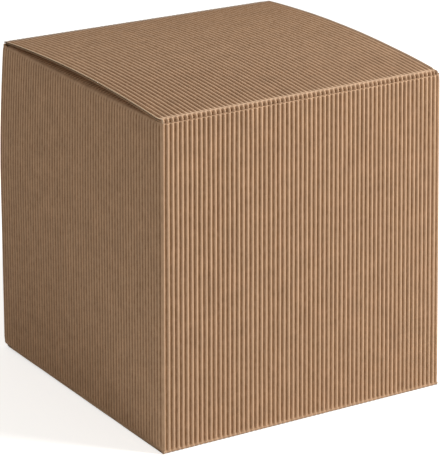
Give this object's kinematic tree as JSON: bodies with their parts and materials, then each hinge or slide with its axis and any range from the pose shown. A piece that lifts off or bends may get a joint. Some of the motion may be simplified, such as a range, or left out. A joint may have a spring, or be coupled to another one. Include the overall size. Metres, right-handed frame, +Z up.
{
  "type": "corrugated cardboard box",
  "caption": "Closed cube box of open-flute corrugated kraft board, ribs outside, with a lid that hinges at the front and tucks in at the back, dust flaps and a tuck-in bottom.",
  "frame": {"origin": "centre of the footprint, on the surface that the box stands on", "axes": "+Z up, -Y out of the front wall that the lid hinges on, X along the lid's hinge"},
  "size_m": [0.2, 0.2, 0.2095],
  "materials": {
    "kraft_board": "matt uncoated brown kraft paper, open flutes outside"
  },
  "bodies": {
    "carton": {"carton": "kraft_board"},
    "lid": {"lid": "kraft_board"}
  },
  "joints": [
    {"name": "lid_hinge", "type": "hinge", "parent": "carton", "child": "lid", "pos_m": [0, -0.0995, 0.2045], "axis": [1, 0, 0], "range_deg": [0, 175]}
  ]
}
